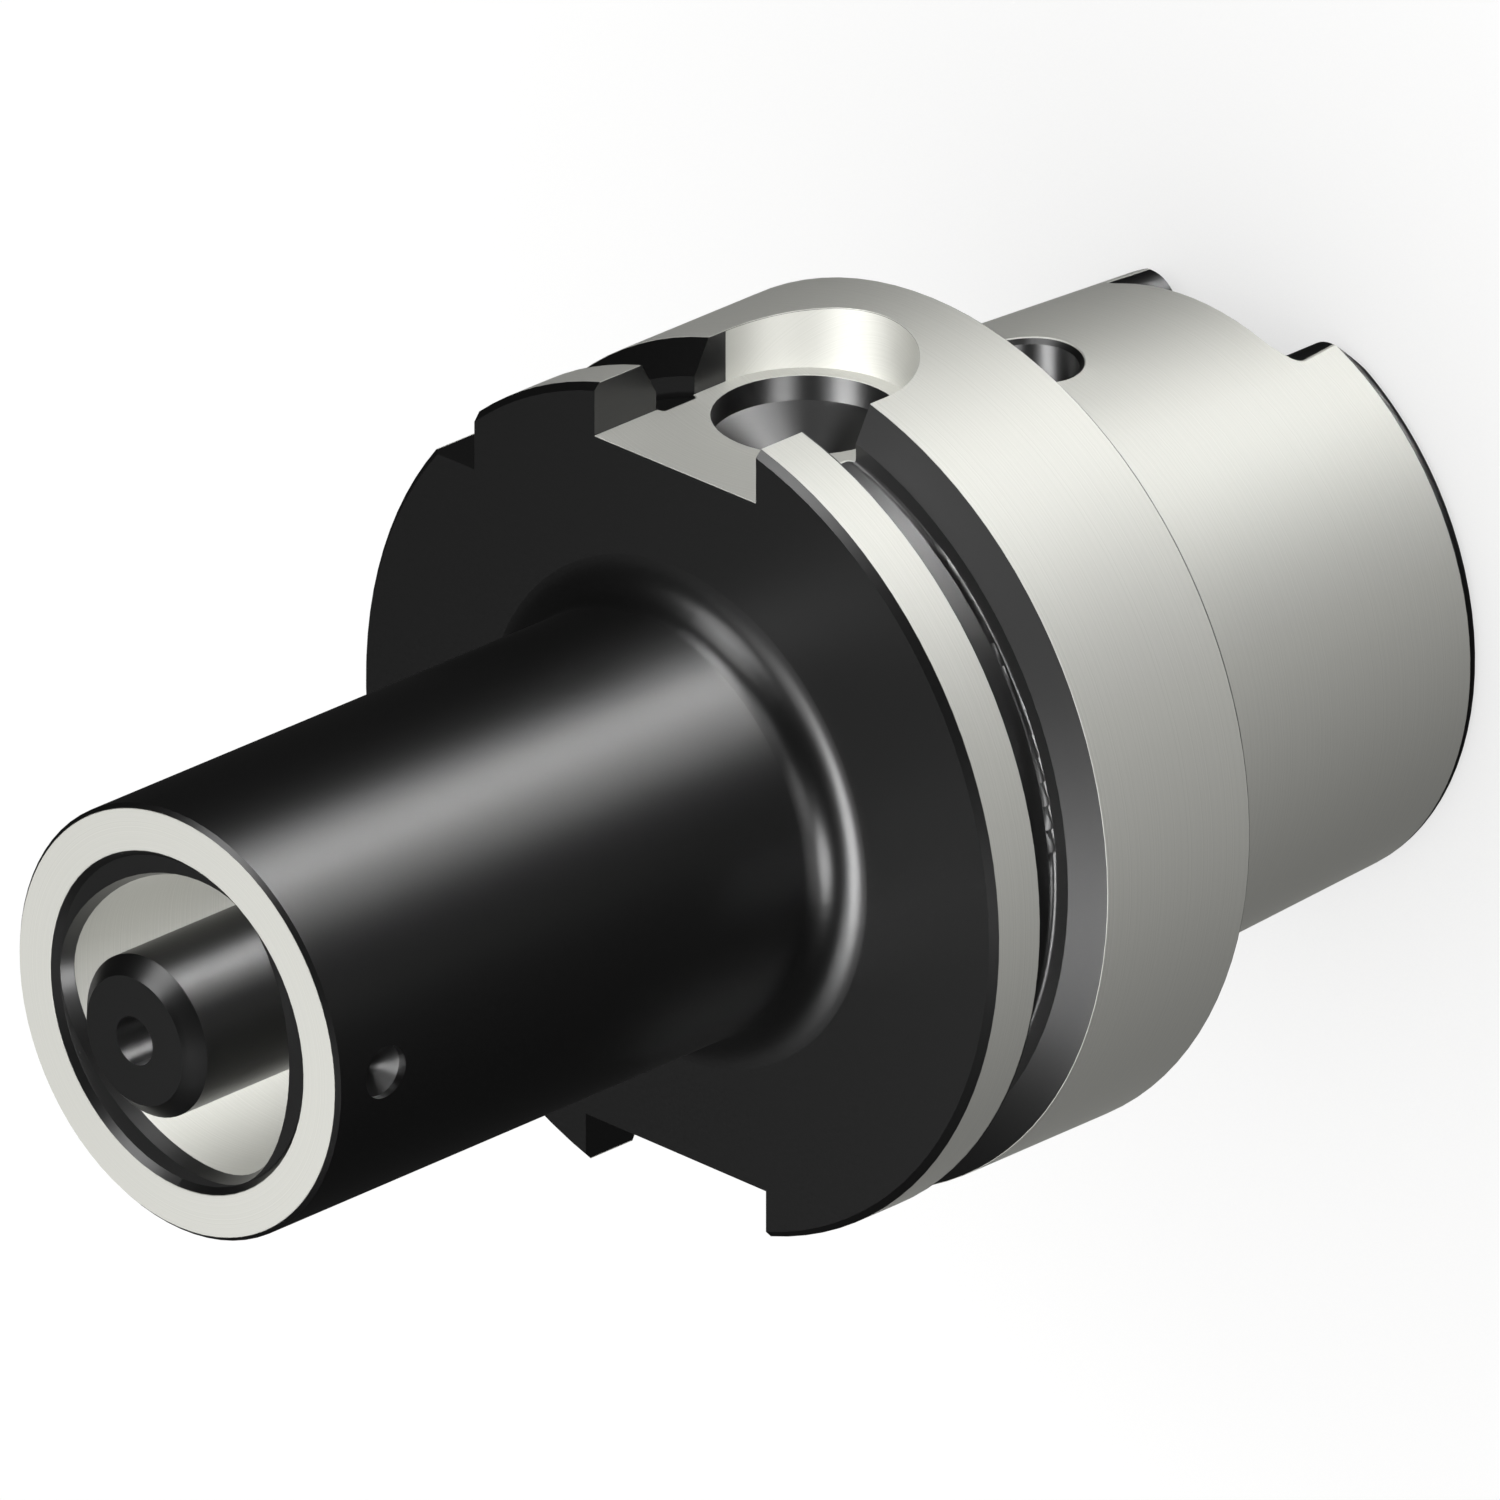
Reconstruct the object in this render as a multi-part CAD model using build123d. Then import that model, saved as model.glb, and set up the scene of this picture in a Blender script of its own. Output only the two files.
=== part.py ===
from build123d import *
from math import cos, hypot, pi, radians, sin, sqrt, tan
import os

os.makedirs("parts", exist_ok=True)

# Adapter with a hollow taper shank, a gripper flange and a round nose with a polygonal socket.
# Millimetres. +Z runs along the axis from the shank to the nose, and z = 0 is the face of
# the flange that seats on the spindle. +Y points to the narrow keyway.

# Flange
flange_diameter = 63.0
flange_width = 26.0
flange_front_chamfer = 0.5
flange_back_chamfer = 0.5

# Gripper groove round the flange. Its flanks slope in to a neck with upright walls.
groove_front_distance = 8.0
groove_depth = 4.0
groove_flank_depth = 2.5
groove_neck_width = 3.8
groove_flank_angle = 30.0
groove_floor_fillet = 0.4

# Keyways in the flange, open to the front and with a round end
keyway_depth = 5.0
narrow_keyway_width = 16.0
wide_keyway_width = 18.0
keyway_end_distance = 5.0

# Blind drilled hole in the floor of the narrow keyway, on the axis of its round end
floor_hole_diameter = 13.5
floor_hole_wall = 1.95
drill_point_angle = 118.0

# Index notch in the front land of the flange, with two faces at a right angle. Its corner
# lies this deep, half-way between -X and +Y.
notch_depth = 3.2

# Nose
gauge_length = 75.0
nose_diameter = 32.0
nose_root_fillet = 3.0
nose_edge_chamfer = 0.35

# Dimple in the side of the nose, on the +X side
dimple_diameter = 3.9
dimple_from_face = 4.7
dimple_wall = 0.7
dimple_point_angle = 135.0

# Three-lobe taper socket in the face of the nose. Its outline is the curve whose tangent at
# an angle lies mean_diameter / 2 - eccentricity * cos(3 * angle) from the axis.
polygon_mean_diameter = 22.0
polygon_eccentricity = 0.7
polygon_taper = 1 / 20
polygon_points = 36
lead_in_width = 0.4
lead_in_depth = 0.95
recess_chamfer = 0.5
recess_margin = 0.04
socket_depth = 21.0

# Outside of the shank
taper_diameter = 48.01
taper_gauge_distance = 6.3
taper_ratio = 1 / 9.98
shank_length = 32.0
shank_end_fillet = 1.3

# Undercut in the corner between the taper and the seating face
undercut_taper_depth = 0.25
undercut_taper_length = 1.2
undercut_face_depth = 0.2
undercut_face_reach = 0.75

# Inside of the shank
clamping_bore_diameter = 34.0
clamping_shoulder_distance = 18.13
clamping_shoulder_angle = 30.0
cavity_diameter = 40.0
cavity_floor_distance = 3.0
cavity_floor_fillet = 1.5
cavity_mouth_chamfer = 1.0

# Drive slots across the end of the shank
drive_slot_width = 12.54
drive_slot_depth = 6.2
drive_slot_flat_depth = 1.92
drive_slot_shoulder_radius = 2.6
drive_slot_mouth_width = 2.3
drive_slot_mouth_depth = 1.3
drive_slot_end_fillet = 1.5

# Access hole through the wall of the shank
access_hole_diameter = 7.5
access_hole_distance = 9.0
access_hole_chamfer = 0.45

# Threaded bore in the floor of the shank, drawn plain at the pitch diameter. A relief groove
# parts the coolant tube's thread at its mouth from the retaining ring's thread at its end.
thread_diameter = 18.0
thread_pitch = 1.0
pitch_line_share = 0.65
thread_depth = 15.0
thread_mouth_chamfer = 0.6
thread_relief_width = 1.6
thread_relief_depth = 0.2

# Centre bolt. Its thread is drawn plain, and its stem ends level with the socket's floor.
bolt_thread_diameter = 12.0
bolt_stem_diameter = 12.6
bolt_protrusion = 4.05
bolt_tip_chamfer = 1.22
bolt_coolant_diameter = 3.6
bolt_head_length = 8.0
bolt_head_chamfer = 0.5
bolt_neck_fillet = 0.4
bolt_key_width = 8.0
bolt_key_depth = 5.0

# Retaining ring
ring_thickness = 4.0
ring_chamfer = 0.4
ring_slot_width = 2.5
ring_slot_depth = 1.6

# Seal ring on the stem of the bolt
seal_section = 1.5
seal_groove_width = 2.0
seal_groove_distance = 6.0

# Clearances between the pieces
bolt_radial_clearance = 0.3
bolt_axial_play = 0.5
head_thread_gap = 1.0
head_ring_gap = 0.1
key_ring_gap = 0.63
thread_clearance = 0.02
seal_bore_gap = 0.08
seal_seat_gap = 0.02
bore_edge_chamfer = 0.5

# How far cutting shapes reach past the surfaces they open, and how near counts as equal
overrun = 1.0
tolerance = 0.01

# Radii and heights that follow
flange_radius = flange_diameter / 2
groove_centre = flange_width - groove_front_distance
groove_floor_radius = flange_radius - groove_depth
groove_shoulder_radius = flange_radius - groove_flank_depth
groove_neck_half = groove_neck_width / 2
groove_mouth_half = groove_neck_half + groove_flank_depth * tan(radians(groove_flank_angle))
keyway_floor_height = flange_radius - keyway_depth
notch_corner = (flange_radius - notch_depth) / sqrt(2)
nose_radius = nose_diameter / 2
recess_floor = gauge_length - recess_chamfer
polygon_top = recess_floor - lead_in_depth
socket_floor = gauge_length - socket_depth
lead_in_diameter = polygon_mean_diameter + 2 * lead_in_width
polygon_floor_diameter = polygon_mean_diameter - (polygon_top - socket_floor) * polygon_taper
recess_radius = lead_in_diameter / 2 + polygon_eccentricity + recess_margin
clamping_bore_radius = clamping_bore_diameter / 2
cavity_radius = cavity_diameter / 2
cavity_floor = -cavity_floor_distance
thread_radius = (thread_diameter - pitch_line_share * thread_pitch) / 2
thread_relief_radius = thread_diameter / 2 + thread_relief_depth
ring_top = cavity_floor + thread_depth
ring_bottom = ring_top - ring_thickness
bolt_thread_radius = bolt_thread_diameter / 2
bolt_stem_radius = bolt_stem_diameter / 2
bolt_head_radius = thread_diameter / 2 - head_thread_gap
bolt_coolant_radius = bolt_coolant_diameter / 2
bolt_head_bottom = ring_top + head_ring_gap
bolt_head_top = bolt_head_bottom + bolt_head_length
bolt_tip = gauge_length + bolt_protrusion
head_bore_radius = bolt_head_radius + bolt_radial_clearance
head_bore_top = bolt_head_top + bolt_axial_play
stem_bore_radius = bolt_stem_radius + bolt_radial_clearance
seal_groove_radius = stem_bore_radius - seal_bore_gap - seal_section - seal_seat_gap
seal_height = head_bore_top + seal_groove_distance


def taper_radius(height):
    return taper_diameter / 2 + (height + taper_gauge_distance) * taper_ratio / 2


def turned(points):
    # A solid of revolution about Z from a closed outline of (radius, height) points. The
    # outline is drawn on the -Y side, so its seam runs down the middle of the wide keyway.
    outline = Polyline(*[(0, -radius, height) for radius, height in points], close=True)
    return revolve(make_face(outline), Axis.Z)


def block(x_range, y_range, z_range):
    size = [high - low for low, high in (x_range, y_range, z_range)]
    return Pos(x_range[0], y_range[0], z_range[0]) * Box(*size, align=Align.MIN)


def rims(solid, radius, height):
    # The circles about the axis with this radius at this height.
    found = []
    for rim in solid.edges().filter_by(GeomType.CIRCLE):
        if abs(rim.arc_center.Z - height) < tolerance and abs(rim.radius - radius) < tolerance:
            found.append(rim)
    return found


def drilled(diameter, wall, point_angle):
    # A drill's cut down -Z: the round wall below z = 0, then the cone of its point.
    radius = diameter / 2
    point = wall + radius / tan(radians(point_angle / 2))
    return turned([(0, overrun), (radius, overrun), (radius, -wall), (0, -point)])


def outside():
    shank_end_radius = taper_radius(-shank_length)
    undercut_start = -undercut_taper_length
    undercut_radius = taper_radius(undercut_start) - undercut_taper_depth
    seat_radius = taper_radius(0) + undercut_face_reach
    groove_back = groove_centre - groove_neck_half
    groove_front = groove_centre + groove_neck_half
    solid = turned([
        (0, -shank_length),
        (shank_end_radius, -shank_length),
        (taper_radius(undercut_start), undercut_start),
        (undercut_radius, undercut_start + undercut_taper_depth),
        (undercut_radius, undercut_face_depth),
        (seat_radius - undercut_face_depth, undercut_face_depth),
        (seat_radius, 0),
        (flange_radius - flange_back_chamfer, 0),
        (flange_radius, flange_back_chamfer),
        (flange_radius, groove_centre - groove_mouth_half),
        (groove_shoulder_radius, groove_back),
        (groove_floor_radius, groove_back),
        (groove_floor_radius, groove_front),
        (groove_shoulder_radius, groove_front),
        (flange_radius, groove_centre + groove_mouth_half),
        (flange_radius, flange_width - flange_front_chamfer),
        (flange_radius - flange_front_chamfer, flange_width),
        (nose_radius, flange_width),
        (nose_radius, gauge_length - nose_edge_chamfer),
        (nose_radius - nose_edge_chamfer, gauge_length),
        (0, gauge_length),
    ])
    solid = fillet(rims(solid, shank_end_radius, -shank_length), shank_end_fillet)
    solid = fillet(rims(solid, nose_radius, flange_width), nose_root_fillet)
    floor_corners = rims(solid, groove_floor_radius, groove_back)
    floor_corners += rims(solid, groove_floor_radius, groove_front)
    return fillet(floor_corners, groove_floor_fillet)


def inside():
    # Everything that is bored from the shank's end, up to the floor of the socket.
    end = -shank_length
    shoulder_length = (cavity_radius - clamping_bore_radius) / tan(radians(clamping_shoulder_angle))
    solid = turned([
        (0, end - overrun),
        (clamping_bore_radius + cavity_mouth_chamfer + overrun, end - overrun),
        (clamping_bore_radius, end + cavity_mouth_chamfer),
        (clamping_bore_radius, -clamping_shoulder_distance),
        (cavity_radius, -clamping_shoulder_distance + shoulder_length),
        (cavity_radius, cavity_floor),
        (thread_radius + thread_mouth_chamfer, cavity_floor),
        (thread_radius, cavity_floor + thread_mouth_chamfer),
        (thread_radius, ring_bottom - thread_relief_width),
        (thread_relief_radius, ring_bottom - thread_relief_width),
        (thread_relief_radius, ring_bottom),
        (thread_radius, ring_bottom),
        (thread_radius, ring_top),
        (head_bore_radius, ring_top),
        (head_bore_radius, head_bore_top),
        (stem_bore_radius + bore_edge_chamfer, head_bore_top),
        (stem_bore_radius, head_bore_top + bore_edge_chamfer),
        (stem_bore_radius, socket_floor - bore_edge_chamfer),
        (stem_bore_radius + bore_edge_chamfer + overrun, socket_floor + overrun),
        (0, socket_floor + overrun),
    ])
    return fillet(rims(solid, cavity_radius, cavity_floor), cavity_floor_fillet)


def polygon_outline(mean_diameter, height):
    points = []
    for index in range(polygon_points):
        angle = 2 * pi * index / polygon_points
        reach = mean_diameter / 2 - polygon_eccentricity * cos(3 * angle)
        slide = 3 * polygon_eccentricity * sin(3 * angle)
        x = reach * cos(angle) - slide * sin(angle)
        y = reach * sin(angle) + slide * cos(angle)
        points.append((x, y, height))
    return make_face(Spline(*points, periodic=True))


def socket():
    # The recess in the nose's face, the lead-in below it, and the taper down to the floor.
    recess = turned([
        (0, recess_floor),
        (recess_radius, recess_floor),
        (recess_radius + recess_chamfer + overrun, gauge_length + overrun),
        (0, gauge_length + overrun),
    ])
    wide = polygon_outline(lead_in_diameter, recess_floor)
    middle = polygon_outline(polygon_mean_diameter, polygon_top)
    narrow = polygon_outline(polygon_floor_diameter, socket_floor)
    lead_in = loft([wide, middle], ruled=True)
    taper = loft([middle, narrow], ruled=True)
    return [recess, lead_in, taper]


def keyway(width):
    # A cut down to the keyway's floor on the +Y side, with a round end towards the shank.
    radius = width / 2
    end_centre = keyway_end_distance + radius
    top = flange_radius + overrun
    slot = block((-radius, radius), (keyway_floor_height, top), (end_centre, flange_width + overrun))
    round_end = Cylinder(radius, top - keyway_floor_height, align=(Align.CENTER, Align.CENTER, Align.MIN))
    return slot + Pos(0, keyway_floor_height, end_centre) * Rot(-90, 0, 0) * round_end


def floor_hole():
    end_centre = keyway_end_distance + narrow_keyway_width / 2
    cut = drilled(floor_hole_diameter, floor_hole_wall, drill_point_angle)
    return Pos(0, keyway_floor_height, end_centre) * Rot(-90, 0, 0) * cut


def index_notch():
    reach = flange_radius + overrun
    through_land = (groove_centre, flange_width + overrun)
    return block((-reach, -notch_corner), (notch_corner, reach), through_land)


def dimple():
    cut = drilled(dimple_diameter, dimple_wall, dimple_point_angle)
    return Pos(nose_radius, 0, gauge_length - dimple_from_face) * Rot(0, 90, 0) * cut


def slot_profile_edges(solid, height):
    # The edges of the slot's walls, shoulders and flats in the plane at this height.
    inner = clamping_bore_radius / 2
    outer = taper_radius(0)
    found = []
    for edge in solid.edges().filter_by_position(Axis.Z, height, height):
        middle = edge.center()
        if abs(middle.X) < outer - overrun / 2 and inner + overrun / 2 < middle.Y < outer - overrun / 2:
            found.append(edge)
    return found


def drive_slot():
    # The slot on the +Y side, made with z = 0 at the shank's end. Each side of it is a wall that
    # curves outwards to a flat. Its mouth is bevelled, and its root at the end wall is rounded.
    half = drive_slot_width / 2
    inner = clamping_bore_radius / 2
    outer = taper_radius(0)
    flat_height = taper_radius(-shank_length) - drive_slot_flat_depth
    side = block((half, outer), (inner, flat_height), (0, drive_slot_depth))
    corners = side.edges().filter_by(Axis.Z).filter_by_position(Axis.X, half, half)
    side = fillet(corners.sort_by(Axis.Y)[-1], drive_slot_shoulder_radius)
    end_face = side.faces().sort_by(Axis.Z)[0]
    mouth = slot_profile_edges(side, 0)
    side = chamfer(mouth, drive_slot_mouth_width, drive_slot_mouth_depth, reference=end_face)
    space = block((-outer, outer), (inner, outer), (-overrun, drive_slot_depth))
    space -= side
    space -= mirror(side, Plane.YZ)
    space = fillet(slot_profile_edges(space, drive_slot_depth), drive_slot_end_fillet)
    return Pos(0, 0, -shank_length) * space


def access_hole():
    cut = Cylinder(access_hole_diameter / 2, cavity_radius, align=(Align.CENTER, Align.CENTER, Align.MIN))
    start = (thread_radius + cavity_radius) / 2
    return Pos(0, start, -access_hole_distance) * Rot(-90, 0, 0) * cut


def access_hole_rim(solid):
    # The edges where the access hole comes out of the taper.
    inside_wall = (cavity_radius + taper_radius(-access_hole_distance)) / 2
    found = []
    for edge in solid.edges():
        middle = edge @ 0.5
        from_axis = hypot(middle.X, middle.Z + access_hole_distance)
        if middle.Y > inside_wall and abs(from_axis - access_hole_diameter / 2) < tolerance:
            found.append(edge)
    return found


def make_body():
    solid = outside() - inside()
    for cut in socket():
        solid -= cut
    solid -= keyway(narrow_keyway_width)
    solid -= mirror(keyway(wide_keyway_width), Plane.XZ)
    solid -= floor_hole()
    solid -= index_notch()
    solid -= dimple()
    solid -= drive_slot()
    solid -= mirror(drive_slot(), Plane.XZ)
    solid -= access_hole()
    return chamfer(access_hole_rim(solid), access_hole_chamfer)


def make_bolt():
    step = bolt_stem_radius - bolt_thread_radius
    solid = turned([
        (bolt_coolant_radius, bolt_head_bottom),
        (bolt_head_radius - bolt_head_chamfer, bolt_head_bottom),
        (bolt_head_radius, bolt_head_bottom + bolt_head_chamfer),
        (bolt_head_radius, bolt_head_top),
        (bolt_stem_radius, bolt_head_top),
        (bolt_stem_radius, seal_height - seal_groove_width / 2),
        (seal_groove_radius, seal_height - seal_groove_width / 2),
        (seal_groove_radius, seal_height + seal_groove_width / 2),
        (bolt_stem_radius, seal_height + seal_groove_width / 2),
        (bolt_stem_radius, socket_floor - step),
        (bolt_thread_radius, socket_floor),
        (bolt_thread_radius, bolt_tip - bolt_tip_chamfer),
        (bolt_thread_radius - bolt_tip_chamfer, bolt_tip),
        (bolt_coolant_radius, bolt_tip),
    ])
    solid = fillet(rims(solid, bolt_stem_radius, bolt_head_top), bolt_neck_fillet)
    key = extrude(RegularPolygon(bolt_key_width / 2, 6, major_radius=False), bolt_key_depth)
    return solid - Pos(0, 0, bolt_head_bottom) * key


def make_retaining_ring():
    outer = thread_radius - thread_clearance
    key_corner_radius = bolt_key_width / sqrt(3)
    bore = key_corner_radius + key_ring_gap
    solid = turned([
        (bore, ring_bottom),
        (outer - ring_chamfer, ring_bottom),
        (outer, ring_bottom + ring_chamfer),
        (outer, ring_top - ring_chamfer),
        (outer - ring_chamfer, ring_top),
        (bore, ring_top),
    ])
    half = ring_slot_width / 2
    return solid - block((-half, half), (-outer, outer), (ring_bottom, ring_bottom + ring_slot_depth))


def make_seal_ring():
    section_radius = seal_section / 2
    ring_radius = seal_groove_radius + seal_seat_gap + section_radius
    return Pos(0, 0, seal_height) * Torus(ring_radius, section_radius)


pieces = {
    "adapter_body": make_body(),
    "centre_bolt": make_bolt(),
    "bolt_retaining_ring": make_retaining_ring(),
    "bolt_seal_ring": make_seal_ring(),
}

for name, piece in pieces.items():
    export_step(piece, f"parts/{name}.step")
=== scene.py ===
import math
import bpy
from mathutils import Matrix, Vector


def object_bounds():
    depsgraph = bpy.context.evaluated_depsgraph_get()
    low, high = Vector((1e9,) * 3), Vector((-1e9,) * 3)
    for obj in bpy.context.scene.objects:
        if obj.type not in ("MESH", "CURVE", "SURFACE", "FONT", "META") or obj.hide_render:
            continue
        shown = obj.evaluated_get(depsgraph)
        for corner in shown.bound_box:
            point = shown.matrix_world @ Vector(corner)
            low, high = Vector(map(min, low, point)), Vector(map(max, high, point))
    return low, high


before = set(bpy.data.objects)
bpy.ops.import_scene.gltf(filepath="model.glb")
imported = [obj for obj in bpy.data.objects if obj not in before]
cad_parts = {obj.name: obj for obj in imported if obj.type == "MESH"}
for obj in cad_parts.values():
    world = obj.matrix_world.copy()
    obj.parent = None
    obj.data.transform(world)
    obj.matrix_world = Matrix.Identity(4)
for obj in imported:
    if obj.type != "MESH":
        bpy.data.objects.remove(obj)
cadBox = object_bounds()
print("frame loaded:", ", ".join(sorted(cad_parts)))

mm = 0.001


def toLinear(hexColour):
    # sRGB hex to the linear colour that Blender's sockets take
    channels = [int(hexColour[i:i + 2], 16) / 255 for i in (1, 3, 5)]
    linear = [c / 12.92 if c <= 0.04045 else ((c + 0.055) / 1.055) ** 2.4 for c in channels]
    return (*linear, 1)


def addNode(tree, kind, settings=None, **inputs):
    # A node with its settings. An input is a value, a socket, or a node whose first output in
    # use is meant. Keys are socket names without spaces, or in0, in1 ... for a numbered one.
    made = tree.nodes.new(kind)
    for key, value in (settings or {}).items():
        setattr(made, key, value)
    named = {s.name.replace(" ", ""): s for s in reversed(made.inputs) if s.enabled}
    for key, value in inputs.items():
        socket = made.inputs[int(key[2:])] if key[2:].isdigit() else named[key]
        if isinstance(value, bpy.types.Node):
            value = next(s for s in value.outputs if s.enabled)
        if isinstance(value, bpy.types.NodeSocket):
            tree.links.new(value, socket)
        else:
            socket.default_value = value
    return made


def newMaterial(name):
    material = bpy.data.materials.new(name)
    material.use_nodes = True
    material.node_tree.nodes.clear()
    return material, material.node_tree


def measure(tree):
    # Where a point of the surface lies, in mm. The cone value is its radius carried along the
    # shank's taper to the seating face's height, so it is the same all over the cone.
    place = addNode(
        tree, "ShaderNodeVectorMath", {"operation": "SCALE"},
        in0=addNode(tree, "ShaderNodeTexCoord").outputs["Object"], Scale=1 / mm)
    x, y, z = addNode(tree, "ShaderNodeSeparateXYZ", Vector=place).outputs
    flat = addNode(tree, "ShaderNodeCombineXYZ", X=x, Y=y)
    radius = addNode(tree, "ShaderNodeVectorMath", {"operation": "LENGTH"}, in0=flat)
    cone = addNode(
        tree, "ShaderNodeMath", {"operation": "MULTIPLY_ADD"}, in0=z, in1=-shankSlope, in2=radius)
    return {"place": place, "x": x, "y": y, "z": z, "radius": radius, "cone": cone}


ringNoise = {
    "radiusWeight": 1.3,  # not 1, or a 45 degree chamfer would come out without rings
    "detail": 3.0,
    "roughness": 0.6,
}


def toolRings(tree, at, pitch):
    # Fine rings round the axis, left by wheel and tool: noise drawn out along them
    along = addNode(
        tree, "ShaderNodeMath", {"operation": "MULTIPLY_ADD"},
        in0=at["radius"], in1=ringNoise["radiusWeight"], in2=at["z"])
    return addNode(
        tree, "ShaderNodeTexNoise", {"noise_dimensions": "1D"},
        W=along, Scale=1 / pitch, Detail=ringNoise["detail"], Roughness=ringNoise["roughness"])


# Where the body is ground bright, in mm. A surface that lies in all the ranges of a row is
# bright, and the rest stays black, the chamfers of holes and slots among it.
shankSlope = 1 / 19.96
groundZones = {
    "noseFace": {"radius": (11.9, 15.68), "z": (74.95, 75.1)},
    "socketTaper": {"radius": (8.5, 12.2), "z": (54.03, 73.5)},
    "frontLand": {"radius": (31.44, 31.6), "z": (21.46, 25.48)},
    "rearLand": {"radius": (31.44, 31.6), "z": (0.53, 14.68)},
    "seatingFace": {"radius": (24.8, 31.0), "z": (-0.05, 0.05)},
    "shankTaper": {"cone": (24.23, 24.5), "z": (-30.72, -1.18)},
    "keywayFloor": {"x": (-7.98, 7.98), "y": (26.45, 26.55), "z": (4.9, 26.0)},
    "keywayEndWall": {
        "x": (-8.05, 8.05), "y": (26.45, 32.0), "z": (4.9, 13.0), "radius": (26.0, 31.4)},
}

bodyFinish = {
    "oxide": "#030303",
    "oxideFlecks": "#070707",
    "oxideRoughness": (0.28, 0.34),
    "oxideSpecular": 0.68,
    "fleckSize": 0.25,            # mm, the grain of the blackened skin
    "fleckDetail": 3.0,
    "fleckHeight": 0.0006,        # mm
    "steel": "#CACAC5",
    "steelScratch": "#BABAB5",
    "steelRoughness": (0.61, 0.69),
    "ringPitch": 0.12,            # mm, coarser than a real grinding wheel leaves, so that it shows
    "ringHeight": 0.0008,         # mm
}


# Tool steel, blackened in hot oxide salts and then ground bright where it fits other parts.
# The eye sees a soft near-black skin beside pale satin steel, with crisp borders at the edges,
# and close up fine rings on both.
def bodyMaterial():
    material, tree = newMaterial("blackOxideAndGroundToolSteel")
    finish = bodyFinish
    at = measure(tree)
    bright = 0.0
    for zone in groundZones.values():
        inside = 1.0
        for name, (low, high) in zone.items():
            between = addNode(
                tree, "ShaderNodeMath", {"operation": "COMPARE"},
                in0=at[name], in1=(low + high) / 2, in2=(high - low) / 2)
            inside = addNode(
                tree, "ShaderNodeMath", {"operation": "MULTIPLY"}, in0=inside, in1=between)
        bright = addNode(tree, "ShaderNodeMath", {"operation": "MAXIMUM"}, in0=bright, in1=inside)
    flecks = addNode(
        tree, "ShaderNodeTexNoise", Vector=at["place"],
        Scale=1 / finish["fleckSize"], Detail=finish["fleckDetail"])
    wheelMarks = toolRings(tree, at, finish["ringPitch"])
    oxide = addNode(
        tree, "ShaderNodeMix", {"data_type": "RGBA"},
        Factor=flecks, A=toLinear(finish["oxide"]), B=toLinear(finish["oxideFlecks"]))
    steel = addNode(
        tree, "ShaderNodeMix", {"data_type": "RGBA"},
        Factor=wheelMarks, A=toLinear(finish["steel"]), B=toLinear(finish["steelScratch"]))
    colour = addNode(tree, "ShaderNodeMix", {"data_type": "RGBA"}, Factor=bright, A=oxide, B=steel)
    smoothest, dullest = finish["oxideRoughness"]
    oxideRoughness = addNode(
        tree, "ShaderNodeMapRange", Value=flecks, ToMin=smoothest, ToMax=dullest)
    smoothest, dullest = finish["steelRoughness"]
    steelRoughness = addNode(
        tree, "ShaderNodeMapRange", Value=wheelMarks, ToMin=smoothest, ToMax=dullest)
    roughness = addNode(tree, "ShaderNodeMix", Factor=bright, A=oxideRoughness, B=steelRoughness)
    ringed = addNode(tree, "ShaderNodeBump", Height=wheelMarks, Distance=finish["ringHeight"] * mm)
    grained = addNode(
        tree, "ShaderNodeBump", Height=flecks, Distance=finish["fleckHeight"] * mm, Normal=ringed)
    shader = addNode(
        tree, "ShaderNodeBsdfPrincipled", BaseColor=colour, Roughness=roughness, Metallic=bright,
        SpecularIORLevel=finish["oxideSpecular"], Normal=grained)
    addNode(tree, "ShaderNodeOutputMaterial", Surface=shader)
    return material


boltFinish = {
    "oxide": "#030303",
    "flecks": "#070707",
    "roughness": (0.27, 0.35),
    "specular": 0.68,
    "fleckSize": 0.2,             # mm
    "fleckDetail": 3.0,
    "fleckHeight": 0.0006,        # mm
    "ringPitch": 0.18,            # mm, a turning tool's marks, coarser than on the ground body
    "ringHeight": 0.0012,         # mm
}


# Alloy steel, turned and then blackened in the same salts. The eye sees a dark cylinder with a
# soft light line along it, crossed by faint turning rings.
def boltMaterial():
    material, tree = newMaterial("blackOxideTurnedSteel")
    finish = boltFinish
    at = measure(tree)
    flecks = addNode(
        tree, "ShaderNodeTexNoise", Vector=at["place"],
        Scale=1 / finish["fleckSize"], Detail=finish["fleckDetail"])
    toolMarks = toolRings(tree, at, finish["ringPitch"])
    colour = addNode(
        tree, "ShaderNodeMix", {"data_type": "RGBA"},
        Factor=flecks, A=toLinear(finish["oxide"]), B=toLinear(finish["flecks"]))
    smoothest, dullest = finish["roughness"]
    roughness = addNode(tree, "ShaderNodeMapRange", Value=toolMarks, ToMin=smoothest, ToMax=dullest)
    ringed = addNode(tree, "ShaderNodeBump", Height=toolMarks, Distance=finish["ringHeight"] * mm)
    grained = addNode(
        tree, "ShaderNodeBump", Height=flecks, Distance=finish["fleckHeight"] * mm, Normal=ringed)
    shader = addNode(
        tree, "ShaderNodeBsdfPrincipled", BaseColor=colour, Roughness=roughness,
        SpecularIORLevel=finish["specular"], Normal=grained)
    addNode(tree, "ShaderNodeOutputMaterial", Surface=shader)
    return material


ringFinish = {
    "oxide": "#0A0A0B",
    "thinOxide": "#1E1E20",
    "roughness": (0.32, 0.44),
    "patchSize": 3.0,             # mm, slow change where the salts took unevenly
    "patchDetail": 2.0,
    "ringPitch": 0.3,             # mm, the feed of a facing tool
    "ringHeight": 0.002,          # mm
}


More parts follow.
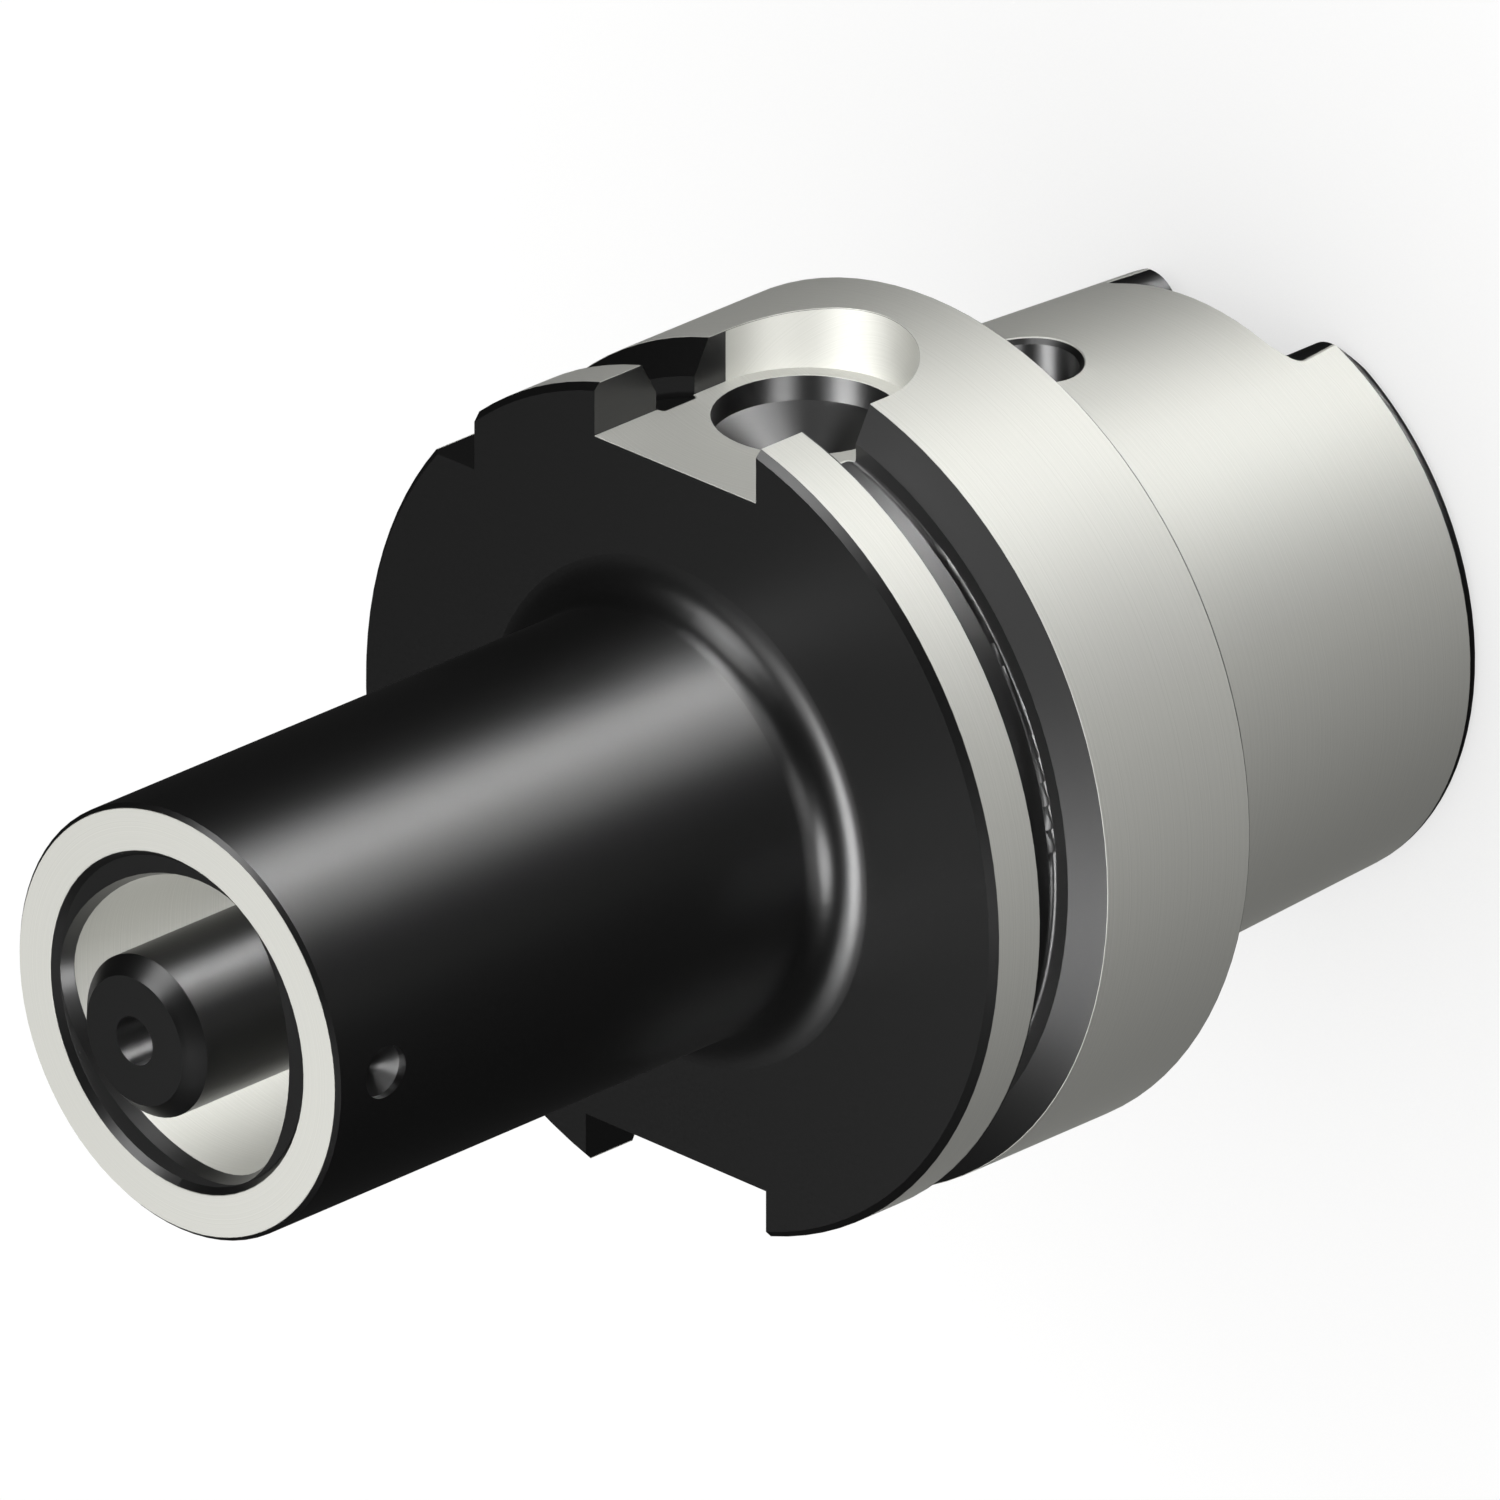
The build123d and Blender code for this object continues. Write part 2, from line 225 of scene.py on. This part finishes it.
# Steel, faced on the lathe and blackened. The eye sees clear rings round the bore, and a skin
# that is a little thinner in patches.
def retainingRingMaterial():
    material, tree = newMaterial("blackOxideFacedSteel")
    finish = ringFinish
    at = measure(tree)
    patches = addNode(
        tree, "ShaderNodeTexNoise", Vector=at["place"],
        Scale=1 / finish["patchSize"], Detail=finish["patchDetail"])
    toolMarks = toolRings(tree, at, finish["ringPitch"])
    colour = addNode(
        tree, "ShaderNodeMix", {"data_type": "RGBA"},
        Factor=patches, A=toLinear(finish["oxide"]), B=toLinear(finish["thinOxide"]))
    smoothest, dullest = finish["roughness"]
    roughness = addNode(tree, "ShaderNodeMapRange", Value=toolMarks, ToMin=smoothest, ToMax=dullest)
    ringed = addNode(tree, "ShaderNodeBump", Height=toolMarks, Distance=finish["ringHeight"] * mm)
    shader = addNode(
        tree, "ShaderNodeBsdfPrincipled", BaseColor=colour, Roughness=roughness, Normal=ringed)
    addNode(tree, "ShaderNodeOutputMaterial", Surface=shader)
    return material


sealFinish = {
    "rubber": "#101011",
    "bloom": "#262627",
    "roughness": (0.55, 0.7),
    "grainSize": 0.08,            # mm, the texture of the mould
    "grainDetail": 2.0,
    "grainHeight": 0.002,         # mm
}


# Moulded nitrile rubber. The eye sees a dull dark ring with a fine grain and a little bloom.
def sealMaterial():
    material, tree = newMaterial("mouldedNitrileRubber")
    finish = sealFinish
    at = measure(tree)
    grain = addNode(
        tree, "ShaderNodeTexNoise", Vector=at["place"],
        Scale=1 / finish["grainSize"], Detail=finish["grainDetail"])
    colour = addNode(
        tree, "ShaderNodeMix", {"data_type": "RGBA"},
        Factor=grain, A=toLinear(finish["rubber"]), B=toLinear(finish["bloom"]))
    smoothest, dullest = finish["roughness"]
    roughness = addNode(tree, "ShaderNodeMapRange", Value=grain, ToMin=smoothest, ToMax=dullest)
    grained = addNode(tree, "ShaderNodeBump", Height=grain, Distance=finish["grainHeight"] * mm)
    shader = addNode(
        tree, "ShaderNodeBsdfPrincipled", BaseColor=colour, Roughness=roughness, Normal=grained)
    addNode(tree, "ShaderNodeOutputMaterial", Surface=shader)
    return material


for nodeName, material in {
    "adapter_body": bodyMaterial(),
    "centre_bolt": boltMaterial(),
    "bolt_retaining_ring": retainingRingMaterial(),
    "bolt_seal_ring": sealMaterial(),
}.items():
    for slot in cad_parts[nodeName].material_slots:
        slot.material = material
print("finishes on the frame's pieces")

# Camera at the photograph's viewing angle
view = {
    "azimuth": 45.0,        # degrees from +X to +Z, with +Y upwards in the picture
    "elevation": 25.0,
    "distance": 3035.7 * mm,
    "across": -13.14 * mm,  # how far the view's middle lies from the origin
    "upwards": -3.412 * mm,
    "pixelsPerMm": 14.1536,
    "picture": 1500,
    "sensor": 36.0,
    "nearest": 0.5,
    "farthest": 20.0,
}
turn, tilt = math.radians(view["azimuth"]), math.radians(view["elevation"])
level = math.cos(tilt)
toward = Vector((math.cos(turn) * level, math.sin(tilt), math.sin(turn) * level))
right = Vector((math.sin(turn), 0, -math.cos(turn)))
upward = toward.cross(right)
camera = bpy.data.objects.new("camera", bpy.data.cameras.new("camera"))
bpy.context.scene.collection.objects.link(camera)
bpy.context.scene.camera = camera
stand = right * view["across"] + upward * view["upwards"] + toward * view["distance"]
facing = Matrix((right, upward, toward)).transposed().to_4x4()
camera.matrix_world = Matrix.Translation(stand) @ facing
camera.data.sensor_width = view["sensor"]
camera.data.lens = view["pixelsPerMm"] / mm * view["distance"] * view["sensor"] / view["picture"]
camera.data.clip_start = view["nearest"]
camera.data.clip_end = view["farthest"]

# Floor, lamps and world
stage = {
    "white": "#FFFFFF",
    "floorSize": 6.0,
    "floorHeight": -32.05 * mm,  # just clear of the shank's end, which would flicker through it
    "floorColour": "#F3F3F1",
    "floorWhite": 0.88,      # share of the floor's white that doesn't depend on the lamps
    "dimColour": "#2E2E2E",  # what soft light finds where the eye sees white
    "shadowReach": 70 * mm,  # how far the object's painted soft shadow spreads over the floor
    "shadowLevel": 0.6,      # the floor's painted white glow where the object hides it altogether, the painted shadow's darkest
    "shadowSamples": 8,
    "worldLight": 0.01,
    "whiteInMetal": 0.01,    # how much white metal mirrors: the photographed studio is dark
    "lampDistance": 0.7,
    "lampWidth": 0.375,
    "shadowLamps": ["aboveNose"],  # the others reach into every pocket, as in the photograph
}
lamps = {
    # Where it stands, seen from the object, and how strongly it lights it in W/m2
    "overNose": ((-0.06, -0.33, 0.94), 2.44),
    "underNose": ((0.11, -0.55, 0.83), 0.72),
    "inLineWithAxis": ((-0.16, 0.09, 0.98), 0.44),
    "aboveNose": ((-0.20, 0.71, 0.68), 0.98),
    "above": ((-0.07, 0.93, 0.36), 0.79),
    "aboveShank": ((0.05, 0.89, -0.45), 1.27),
    "aboveShankRight": ((0.20, 0.66, -0.73), 0.84),
    "behindShank": ((0.30, 0.45, -0.84), 0.29),
    "aboveRight": ((0.51, 0.82, -0.25), 0.33),
    "right": ((0.95, 0.28, -0.15), 0.41),
    "lowRight": ((0.93, -0.23, 0.27), 1.99),
}


def seenDirectly(tree):
    # 1 where the eye sees the surface, straight or through glass, and a small share in metal
    path = addNode(tree, "ShaderNodeLightPath").outputs
    direct = addNode(
        tree, "ShaderNodeMath", {"operation": "MAXIMUM"},
        in0=path["Is Camera Ray"], in1=path["Is Transmission Ray"])
    inMetal = addNode(
        tree, "ShaderNodeMath", {"operation": "MULTIPLY"},
        in0=path["Is Glossy Ray"], in1=stage["whiteInMetal"])
    return addNode(tree, "ShaderNodeMath", {"operation": "MAXIMUM"}, in0=direct, in1=inMetal)


def floorMaterial():
    # Matt white paint on a studio floor
    material, tree = newMaterial("mattWhitePaint")
    dim = addNode(tree, "ShaderNodeBsdfDiffuse", Color=toLinear(stage["dimColour"]))
    plain = addNode(tree, "ShaderNodeBsdfDiffuse", Color=toLinear(stage["floorColour"]))
    # Painted shadow: the floor's white glow, not the lamps' light, is dimmed where ambient
    # occlusion finds the object hiding the studio from the floor
    unhidden = addNode(
        tree, "ShaderNodeAmbientOcclusion", {"samples": stage["shadowSamples"]},
        Distance=stage["shadowReach"])
    strength = addNode(
        tree, "ShaderNodeMapRange",
        Value=unhidden.outputs["AO"], ToMin=stage["shadowLevel"], ToMax=1.0)
    glow = addNode(tree, "ShaderNodeEmission", Color=toLinear(stage["white"]), Strength=strength)
    white = addNode(tree, "ShaderNodeMixShader", in0=stage["floorWhite"], in1=plain, in2=glow)
    above = addNode(tree, "ShaderNodeMixShader", in0=seenDirectly(tree), in1=dim, in2=white)
    # From below the eye looks through the floor, so that the shank's open end can be seen
    below = addNode(tree, "ShaderNodeBsdfTransparent")
    backFace = addNode(tree, "ShaderNodeNewGeometry").outputs["Backfacing"]
    oneSided = addNode(tree, "ShaderNodeMixShader", in0=backFace, in1=above, in2=below)
    addNode(tree, "ShaderNodeOutputMaterial", Surface=oneSided)
    return material


half = stage["floorSize"] / 2
floorMesh = bpy.data.meshes.new("floor")
corners = [
    (side * half, end * half, stage["floorHeight"])
    for side, end in ((-1, -1), (1, -1), (1, 1), (-1, 1))]
floorMesh.from_pydata(corners, [], [(0, 1, 2, 3)])
floorMesh.materials.append(floorMaterial())
floor = bpy.data.objects.new("floor", floorMesh)
bpy.context.scene.collection.objects.link(floor)
# The lamps on the shank's side shine past the floor, onto the object and into its reflections
floor.visible_shadow = False
floor.visible_glossy = False
floor.visible_diffuse = False

middle = (cadBox[0] + cadBox[1]) / 2
for name, (direction, brightness) in lamps.items():
    lamp = bpy.data.lights.new(name, "AREA")
    lamp.shape = "DISK"
    lamp.size = stage["lampWidth"]
    lamp.energy = brightness * math.pi * stage["lampDistance"] ** 2
    lamp.use_shadow = name in stage["shadowLamps"]
    # Without shadows a lamp isn't looked for by mirrored rays, which the object would stop
    lamp.cycles.use_multiple_importance_sampling = lamp.use_shadow
    holder = bpy.data.objects.new(name, lamp)
    bpy.context.scene.collection.objects.link(holder)
    away = Vector(direction).normalized()
    holder.location = middle + away * stage["lampDistance"]
    holder.rotation_mode = "QUATERNION"
    holder.rotation_quaternion = away.to_track_quat("Z", "Y")
    holder.visible_camera = False

world = bpy.data.worlds.new("studio")
world.use_nodes = True
tree = world.node_tree
tree.nodes.clear()
strength = addNode(
    tree, "ShaderNodeMapRange", Value=seenDirectly(tree), ToMin=stage["worldLight"], ToMax=1.0)
sky = addNode(
    tree, "ShaderNodeBackground", Color=toLinear(stage["white"]), Strength=strength)
addNode(tree, "ShaderNodeOutputWorld", Surface=sky)
bpy.context.scene.world = world
bpy.context.scene.view_settings.view_transform = "Standard"
print("camera, floor and lamps in place")
